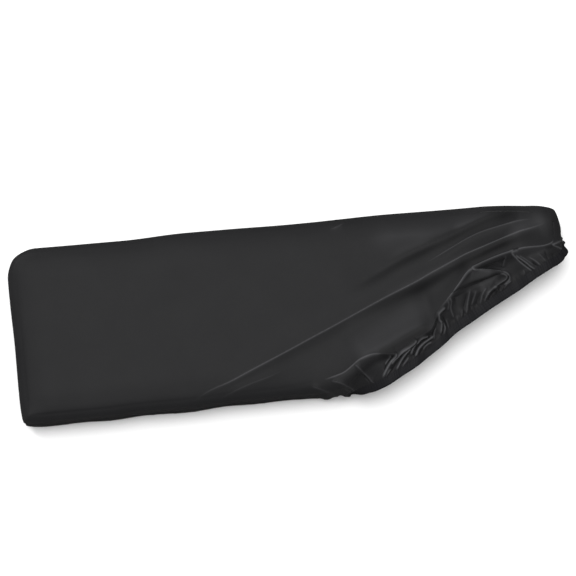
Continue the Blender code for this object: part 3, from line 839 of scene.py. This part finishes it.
# Least and most of each drawn size, as a share of the size above
HEIGHT_SPREAD = (0.4, 1.3)
FLANK_SPREAD = (0.75, 1.4)
REACH_SPREAD = (0.3, 1.0)
PITCH_SPREAD = (0.6, 1.5)


def pleat_rows(rng):
    """Place along the edge, height, flank and share of the side left plain, for each pleat."""
    rows = []
    here = 0.0
    while here < total_length:
        lifted = float(np.interp(here, along, lift))
        size = {
            key: (1 - lifted) * HANGING_PLEATS[key] + lifted * LIFTED_PLEATS[key]
            for key in HANGING_PLEATS
        }
        high = size["height"] * rng.uniform(*HEIGHT_SPREAD)
        flank = size["flank"] * rng.uniform(*FLANK_SPREAD)
        plain = 1 - size["reach"] * rng.uniform(*REACH_SPREAD)
        rows.append((here, high, flank, plain))
        here += size["pitch"] * rng.uniform(*PITCH_SPREAD)
    return np.array(rows)


pleats = pleat_rows(np.random.default_rng(PLEAT_SEED))
off = along[None, :] - pleats[:, :1]
off = np.mod(off + total_length / 2, total_length) - total_length / 2
flanks = pleats[:, 2:3] * np.where(off > 0, STEEP_SIDE, 1)
profiles = pleats[:, 1:2] * np.exp(-(np.hypot(off, 1) - 1) / flanks)
all_places = np.append(places, 1.0)
grown = smooth_step((all_places[:, None] - pleats[:, 3]) / (1 - pleats[:, 3]))
drawn = grown @ profiles
to_seam = np.clip((all_places - PLEAT_FADE_FROM) / (1 - PLEAT_FADE_FROM), 0, 1)
seam_share = 1 - (1 - SEAM_SHARE) * to_seam
raised[panel_count:] += (drawn * seam_share[:, None]).ravel()
print("pleats", len(pleats))

# %% [markdown]
# Slow waves run along every side where the elastic lets the cloth out and pulls it in. They
# are the same in the solids, so the tape below stays on the place that collides. A few folds
# end in juts that show in the outline: a bell-shaped push outwards, exp(-(d / radius)^2).

# %% Slow waves
HANGING_WAVE = (1.2, 137.0)
LIFTED_WAVE = (2.4, 63.0)
WAVE_GROWTH = 1.5
JUTS = (
    # place x, y, way out x, y, radius
    (58, -165, 0.0, -3.2, 8.0),
    (78, -166, 0.0, -1.6, 4.0),
    (97, -166, 0.0, -3.6, 6.0),
    (549, 70, 4.5, -1.0, 6.0),
    (540, 55, 3.5, -2.5, 5.0),
    (545, 63, -2.5, 0.5, 4.0),
)

slow = HANGING_WAVE[0] * np.sin(2 * np.pi * side_along / HANGING_WAVE[1])
quick = LIFTED_WAVE[0] * np.sin(2 * np.pi * side_along / LIFTED_WAVE[1])
waves = (1 - side_lift) * slow + side_lift * quick
raised[panel_count:] += waves * side_place**WAVE_GROWTH
points = base + raised[:, None] * base_normals
for x, y, out_x, out_y, radius in JUTS:
    near = np.exp(-((base[:, 0] - x) ** 2 + (base[:, 1] - y) ** 2) / radius**2)
    near[:panel_count] = 0
    points[:, 0] += out_x * near
    points[:, 1] += out_y * near
normals = point_normals(points, all_quads)
outer_face = points + CLOTH_THICKNESS * normals
print("cloth spans in millimetres", np.round(np.ptp(outer_face, axis=0)).tolist())

# %% [markdown]
# The cloth piece takes the grid's outer face, without the last band, which belongs to the
# tape. Knit this thin shows no thickness, so a single layer is right. Its map is the plan of
# the top panel, and on the sides the distance round the edge and the distance down.

# %% Cloth piece
cloth_quads = np.vstack([top_quads, *bands[:-1]])
cloth_points = outer_face[: -len(edge)]
cover_cloth = add_mesh("knit_cover", cloth_points, cloth_quads)

all_distances = np.vstack([along, distances])
closed_distances = np.hstack([all_distances, all_distances[:, :1] + total_length])
closed_down = np.hstack([down, down[:, :1]])
side_map = np.dstack([closed_distances, -closed_down])
top_places = panel.reshape(-1, 3)[top_quads][:, :, :2]
band_places = quad_corners(side_map).reshape(-1, 4, 2)
add_cloth_map(cover_cloth, np.vstack([top_places, band_places]))
for number, channel in enumerate(channels):
    store = cover_cloth.data.attributes.new(f"crown_{number}", "FLOAT_VECTOR", "POINT")
    kept = channel[: len(cloth_points)].astype(np.float32)
    store.data.foreach_set("vector", kept.ravel())
# The painted highlight and painted shade of each point, kept for the shader
store = cover_cloth.data.attributes.new("painted_light_and_shade", "FLOAT", "POINT")
store.data.foreach_set("value", painted_light_and_shade[: len(cloth_points)].astype(np.float32))
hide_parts("cover_cloth")

# %% [markdown]
# The tape is elastic folded over the raw edge and sewn through, so its section is a flat
# tube. It is carried round the seam: a closed oval set across the tape's own direction.
# Where the elastic is slack it ripples, so its thickness breathes a little along its length.

# %% Elastic tape
TAPE_THICKNESS = 2.6
TAPE_SIDES = 20
TAPE_OVERLAP = 3.0
RIPPLE = (0.22, 5.2)
TUBE_POWER = 0.45

seam_points, seam_normals = (part[-2 * len(edge) : -len(edge)] for part in (points, normals))
free_points, free_normals = points[-len(edge) :], normals[-len(edge) :]
tape_across = unit(free_points - seam_points)
tape_normals = unit(seam_normals + free_normals)
tape_normals = unit(
    tape_normals - (tape_normals * tape_across).sum(axis=1)[:, None] * tape_across
)
lowest_out = -TAPE_OVERLAP
highest_out = SEAM_GAP + TAPE_WIDTH
middle_out, half_out = (lowest_out + highest_out) / 2, (highest_out - lowest_out) / 2


def tube_section(turn, power=TUBE_POWER):
    """Flat tube: cosine and sine raised to a power, which squares the oval off."""
    cos, sin = np.cos(turn), np.sin(turn)
    return np.sign(cos) * np.abs(cos) ** power, np.sign(sin) * np.abs(sin) ** (2 * power)


turns = np.linspace(0, 2 * np.pi, TAPE_SIDES, endpoint=False)
section_out, section_up = tube_section(turns)
swell = 1 + RIPPLE[0] * np.sin(2 * np.pi * distances[-1] / RIPPLE[1])
tape_out = middle_out + half_out * section_out
tape_up = CLOTH_THICKNESS / 2 + TAPE_THICKNESS / 2 * section_up[:, None] * swell[None, :]
tape_points = (
    seam_points[None]
    + tape_out[:, None, None] * tape_across[None]
    + tape_up[:, :, None] * tape_normals[None]
)
number = np.arange(TAPE_SIDES * len(edge)).reshape(TAPE_SIDES, len(edge))
next_turn, next_along = np.roll(number, -1, axis=0), np.roll(number, -1, axis=1)
both = np.roll(next_turn, -1, axis=1)
tape_quads = np.stack([number, next_turn, both, next_along], axis=-1).reshape(-1, 4)
elastic_tape = add_mesh("elastic_tape", tape_points.reshape(-1, 3), tape_quads)
girth = np.linspace(0, 2 * (highest_out - lowest_out), TAPE_SIDES + 1)
map_along = np.tile(closed_distances[-1], (TAPE_SIDES + 1, 1))
map_round = np.tile(girth[:, None], (1, len(edge) + 1))
tape_map = np.dstack([map_along, map_round])
add_cloth_map(elastic_tape, quad_corners(tape_map).reshape(-1, 4, 2))
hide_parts("elastic_binding")

# %% [markdown]
# Before it is sewn, the body is one rectangle with its corners cut away: the top panel, a
# side and a hem turn on each edge.

# %% [markdown]
# Materials are made of shader nodes. One function adds a node, sets its values and links the
# sockets that feed it. Another turns a colour as picked on a screen into the linear values
# that the shader works with.

# %% Material helpers


def linear(hex_colour):
    """sRGB hex to linear: c / 12.92 for dark values, else ((c + 0.055) / 1.055) ** 2.4."""
    channels = [int(hex_colour[i : i + 2], 16) / 255 for i in (1, 3, 5)]
    return [c / 12.92 if c <= 0.04045 else ((c + 0.055) / 1.055) ** 2.4 for c in channels] + [1]


def add_node(material, kind, settings=None, values=None, links=None):
    """Node of a kind with its settings and socket values, fed by (node, output) links."""
    tree = material.node_tree
    node = tree.nodes.new(kind)
    for name, setting in (settings or {}).items():
        setattr(node, name, setting)
    for name, value in (values or {}).items():
        node.inputs[name].default_value = value
    for name, (source, output) in (links or {}).items():
        tree.links.new(source.outputs[output], node.inputs[name])
    return node


def new_material(name):
    """Material with an empty node tree and its output node."""
    material = bpy.data.materials.new(name)
    material.use_nodes = True
    material.node_tree.nodes.clear()
    return material, add_node(material, "ShaderNodeOutputMaterial")


# %% [markdown]
# The body is brushed polyester and elastane jersey, dyed black in the piece. Jersey has fine
# upright ribs, the wales, crossed by rows of loops, the courses. It is matt. A lighter colour
# is painted on the crown of each fold as a painted highlight. A groove narrower than the mesh
# holds little light, so it gets painted shade, a darker colour. The real ribs are half a
# millimetre apart, too fine for this view, so they are drawn three times as wide.

# %% Brushed jersey
MATHS = "ShaderNodeMath"
WALE_MM = 1.5
COURSE_MM = 1.1
jersey, jersey_output = new_material("brushed_polyester_jersey")
cloth_map = add_node(jersey, "ShaderNodeUVMap", {"uv_map": "cloth_mm"})
wales = add_node(
    jersey, "ShaderNodeTexWave", {"wave_type": "BANDS", "bands_direction": "X"},
    {"Scale": math.pi / 10 / WALE_MM, "Distortion": 0.6, "Detail": 1.0, "Detail Scale": 0.7},
    {"Vector": (cloth_map, "UV")},
)
courses = add_node(
    jersey, "ShaderNodeTexWave", {"wave_type": "BANDS", "bands_direction": "Y"},
    {"Scale": math.pi / 10 / COURSE_MM, "Distortion": 0.8, "Detail": 1.0},
    {"Vector": (cloth_map, "UV")},
)
loops = add_node(
    jersey, MATHS, {"operation": "MULTIPLY_ADD"},
    {1: 0.45},
    {0: (courses, "Fac"), 2: (wales, "Fac")},
)
nap = add_node(
    jersey, "ShaderNodeTexNoise", None,
    {"Scale": 0.16, "Detail": 4.0, "Roughness": 0.6},
    {"Vector": (cloth_map, "UV")},
)
patches = add_node(
    jersey, "ShaderNodeTexNoise", None,
    {"Scale": 0.012, "Detail": 3.0, "Roughness": 0.5},
    {"Vector": (cloth_map, "UV")},
)
knit_bump = add_node(
    jersey, "ShaderNodeBump", None,
    {"Strength": 0.25, "Distance": 0.00025},
    {"Height": (loops, "Value")},
)
nap_bump = add_node(
    jersey, "ShaderNodeBump", None,
    {"Strength": 0.25, "Distance": 0.0008},
    {"Height": (nap, "Fac"), "Normal": (knit_bump, "Normal")},
)


def crown_height(material, count):
    """Sum over the channels of strength * exp(-distance in flanks), in millimetres."""
    total = add_node(material, MATHS, {"operation": "ADD"}, {0: 0.0, 1: 0.0})
    for number in range(count):
        name = {"attribute_name": f"crown_{number}"}
        stored = add_node(material, "ShaderNodeAttribute", name)
        split = add_node(material, "ShaderNodeSeparateXYZ", links={0: (stored, "Vector")})
        away = add_node(material, MATHS, {"operation": "ABSOLUTE"}, links={0: (split, "X")})
        fed = {0: (away, "Value")}
        shrunk = add_node(material, MATHS, {"operation": "MULTIPLY"}, {1: -1.0}, fed)
        power = add_node(material, MATHS, {"operation": "EXPONENT"}, links={0: (shrunk, "Value")})
        fed = {0: (power, "Value"), 1: (split, "Y"), 2: (total, "Value")}
        total = add_node(material, MATHS, {"operation": "MULTIPLY_ADD"}, links=fed)
    return total


crowns = crown_height(jersey, len(channels))
crown_bump = add_node(
    jersey, "ShaderNodeBump", None,
    {"Strength": 1.0, "Distance": METRES_PER_MM},
    {"Height": (crowns, "Value"), "Normal": (nap_bump, "Normal")},
)
dye = add_node(
    jersey, "ShaderNodeMix", {"data_type": "RGBA"},
    {"A": linear("#1c1c1d"), "B": linear("#212122")},
    {"Factor": (patches, "Fac")},
)
# Crowns and the painted light table add up to one share: painted highlight above 0, painted shade
# below 0
painted_light_tone = add_node(jersey, "ShaderNodeAttribute", {"attribute_name": "painted_light_and_shade"})
both = {0: (crowns, "Value"), 1: (painted_light_tone, "Fac")}
painted_light_share = add_node(jersey, MATHS, {"operation": "ADD"}, links=both)
# Painted highlight: a lighter colour where the share is above 0
painted_highlight = add_node(
    jersey, "ShaderNodeMix", {"data_type": "RGBA"},
    {"B": linear("#4c4c4e")},
    {"Factor": (painted_light_share, "Value"), "A": (dye, "Result")},
)
# Painted shade: a darker colour where the share is below 0, in grooves and on slack slopes
painted_shade_share = add_node(jersey, MATHS, {"operation": "MULTIPLY"}, {1: -1.0}, {0: (painted_light_share, "Value")})
with_painted_shade = add_node(
    jersey, "ShaderNodeMix", {"data_type": "RGBA"},
    {"B": linear("#0b0b0c")},
    {"Factor": (painted_shade_share, "Value"), "A": (painted_highlight, "Result")},
)
jersey_shader = add_node(
    jersey, "ShaderNodeBsdfPrincipled", None,
    {
        "Roughness": 0.5,
        "IOR": 1.5,
        "Specular IOR Level": 0.08,
        "Sheen Weight": 0.03,
        "Sheen Roughness": 0.45,
    },
    {"Base Color": (with_painted_shade, "Result"), "Normal": (crown_bump, "Normal")},
)
jersey.node_tree.links.new(jersey_shader.outputs["BSDF"], jersey_output.inputs["Surface"])
cover_cloth.data.materials.append(jersey)
print("jersey nodes", len(jersey.node_tree.nodes))

# %% [markdown]
# The tape is plush fold-over elastic: a tight ribbed knit round rubber threads, smoother and
# darker than the body. Its ribs run along it, and it creases across where it slackens.

# %% Fold-over elastic
RIB_MM = 1.6
CRIMP_MM = 2.6
elastic, elastic_output = new_material("fold_over_elastic")
tape_uv = add_node(elastic, "ShaderNodeUVMap", {"uv_map": "cloth_mm"})
ribs = add_node(
    elastic, "ShaderNodeTexWave", {"wave_type": "BANDS", "bands_direction": "Y"},
    {"Scale": math.pi / 10 / RIB_MM, "Distortion": 0.3},
    {"Vector": (tape_uv, "UV")},
)
crimps = add_node(
    elastic, "ShaderNodeTexWave", {"wave_type": "BANDS", "bands_direction": "X"},
    {"Scale": math.pi / 10 / CRIMP_MM, "Distortion": 1.5, "Detail": 2.0},
    {"Vector": (tape_uv, "UV")},
)
tape_relief = add_node(
    elastic, MATHS, {"operation": "MULTIPLY_ADD"},
    {1: 0.8},
    {0: (crimps, "Fac"), 2: (ribs, "Fac")},
)
tape_bump = add_node(
    elastic, "ShaderNodeBump", None,
    {"Strength": 0.35, "Distance": 0.0004},
    {"Height": (tape_relief, "Value")},
)
tape_shader = add_node(
    elastic, "ShaderNodeBsdfPrincipled", None,
    {
        "Base Color": linear("#1b1b1d"),
        "Roughness": 0.55,
        "Specular IOR Level": 0.08,
    },
    {"Normal": (tape_bump, "Normal")},
)
elastic.node_tree.links.new(tape_shader.outputs["BSDF"], elastic_output.inputs["Surface"])
elastic_tape.data.materials.append(elastic)
print("elastic nodes", len(elastic.node_tree.nodes))

# %% [markdown]
# The floor is a plain pale sheet, level with the lowest point of the cover. It is matt, so it
# shows nothing but a soft shadow. The fibres of a knit break up what a smooth wall would
# mirror at a slant, so floor and room are kept out of its gloss and only lamps shine in it.

# %% Floor
FLOOR_HALF = 6.0
floor_z = cad_low.z
floor_mesh = bpy.data.meshes.new("floor")
corners = [(-1, -1), (1, -1), (1, 1), (-1, 1)]
floor_points = [(x * FLOOR_HALF, y * FLOOR_HALF, floor_z) for x, y in corners]
floor_mesh.from_pydata(floor_points, [], [(0, 1, 2, 3)])
floor = bpy.data.objects.new("floor", floor_mesh)
bpy.context.scene.collection.objects.link(floor)
paper, paper_output = new_material("matt_white_paper")
paper_shader = add_node(
    paper, "ShaderNodeBsdfPrincipled", None,
    {"Base Color": linear("#f7f7f7"), "Roughness": 0.9, "Specular IOR Level": 0.1},
)
paper.node_tree.links.new(paper_shader.outputs["BSDF"], paper_output.inputs["Surface"])
floor_mesh.materials.append(paper)
floor.visible_glossy = False

# %% [markdown]
# Black cloth shows its folds by what it reflects more than by its colour. One wide soft light
# stands straight overhead, a little behind, so flat cloth gives a faint shine back to the
# camera and loses it wherever it slopes. A weak one from the back left picks out the folds,
# and an even pale world stands for the walls of the room.

# %% Lights
SKY_ANGLE = math.radians(26.0)
SKY_TILT = math.radians(6.0)
SKY_STRENGTH = 2.4
KEY_PLACE = Vector((-2.9, 3.0, 2.2))
KEY_SIZE = 1.6
KEY_WATTS = 90.0
ROOM_STRENGTH = 0.6

sky_light = bpy.data.lights.new("overhead", "SUN")
sky_light.angle = SKY_ANGLE
sky_light.energy = SKY_STRENGTH
sky_lamp = bpy.data.objects.new("overhead", sky_light)
sky_lamp.rotation_euler = (-SKY_TILT, 0.0, 0.0)
bpy.context.scene.collection.objects.link(sky_lamp)

key_light = bpy.data.lights.new("key", "AREA")
key_light.size = KEY_SIZE
key_light.energy = KEY_WATTS
key_lamp = bpy.data.objects.new("key", key_light)
key_lamp.location = KEY_PLACE
key_lamp.rotation_euler = KEY_PLACE.to_track_quat("Z", "Y").to_euler()
bpy.context.scene.collection.objects.link(key_lamp)

world = bpy.data.worlds.new("studio")
world.use_nodes = True
world.node_tree.nodes["Background"].inputs["Color"].default_value = linear("#f2f2f2")
world.node_tree.nodes["Background"].inputs["Strength"].default_value = ROOM_STRENGTH
world.cycles_visibility.glossy = False
bpy.context.scene.world = world
bpy.context.scene.view_settings.view_transform = "Standard"
